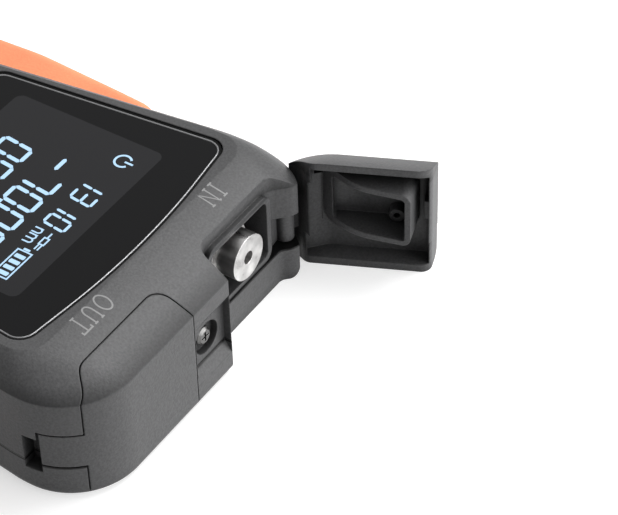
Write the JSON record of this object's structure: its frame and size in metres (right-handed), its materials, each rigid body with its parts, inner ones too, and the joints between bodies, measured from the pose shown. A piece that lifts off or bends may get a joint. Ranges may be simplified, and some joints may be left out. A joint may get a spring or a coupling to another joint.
{
  "type": "optical power meter",
  "caption": "Handheld optical power meter with a tapered display, side grips and two flip caps over its fibre ports.",
  "frame": {"origin": "middle of the back face that the meter lies on", "axes": "+X to the user's right, +Y to the port end, +Z out of the display"},
  "size_m": [0.0869, 0.1516, 0.0276],
  "materials": {
    "shell": "satin",
    "grip": "matte",
    "window": "gloss",
    "panel": "satin",
    "key": "matte",
    "plated": "polished",
    "steel": "satin",
    "brass": "satin",
    "inner": "matte",
    "board": "satin",
    "battery": "satin"
  },
  "bodies": {
    "housing": {"front_shell": "shell", "rear_shell": "shell", "grip_left": "grip", "grip_right": "grip", "power_pin": "steel", "laser_pin": "steel", "power_sleeve": "plated", "power_flange": "plated", "laser_sleeve": "plated", "laser_flange": "plated", "detector_can": "steel", "laser_module": "brass", "web_screw": "steel", "rear_screws": "steel", "display_window": "window", "lcd_panel": "panel", "lcd_frame": "inner", "main_board": "board", "battery_pack": "battery", "charge_socket": "steel", "keypad_mat": "inner"},
    "power_cap": {"power_cap": "shell"},
    "laser_cap": {"laser_cap": "shell"},
    "key_power": {"key_power": "key"},
    "key_mode": {"key_mode": "key"},
    "key_laser": {"key_laser": "key"},
    "key_light": {"key_light": "key"},
    "key_unit": {"key_unit": "key"},
    "key_zero": {"key_zero": "key"}
  },
  "joints": [
    {"name": "power_cap_hinge", "type": "hinge", "parent": "housing", "child": "power_cap", "pos_m": [-0.0316, 0.0611, 0.011], "axis": [0, 0, 1], "range_deg": [-115, 0]},
    {"name": "laser_cap_hinge", "type": "hinge", "parent": "housing", "child": "laser_cap", "pos_m": [0.0316, 0.0611, 0.011], "axis": [0, 0, 1], "range_deg": [-115, 0]},
    {"name": "key_power_press", "type": "slide", "parent": "housing", "child": "key_power", "axis": [0, 0, 1], "range_m": [-0.001, 0], "stiffness_N_per_m": 700},
    {"name": "key_mode_press", "type": "slide", "parent": "housing", "child": "key_mode", "axis": [0, 0, 1], "range_m": [-0.001, 0], "stiffness_N_per_m": 700},
    {"name": "key_laser_press", "type": "slide", "parent": "housing", "child": "key_laser", "axis": [0, 0, 1], "range_m": [-0.001, 0], "stiffness_N_per_m": 700},
    {"name": "key_light_press", "type": "slide", "parent": "housing", "child": "key_light", "axis": [0, 0, 1], "range_m": [-0.001, 0], "stiffness_N_per_m": 700},
    {"name": "key_unit_press", "type": "slide", "parent": "housing", "child": "key_unit", "axis": [0, 0, 1], "range_m": [-0.001, 0], "stiffness_N_per_m": 700},
    {"name": "key_zero_press", "type": "slide", "parent": "housing", "child": "key_zero", "axis": [0, 0, 1], "range_m": [-0.001, 0], "stiffness_N_per_m": 700}
  ]
}
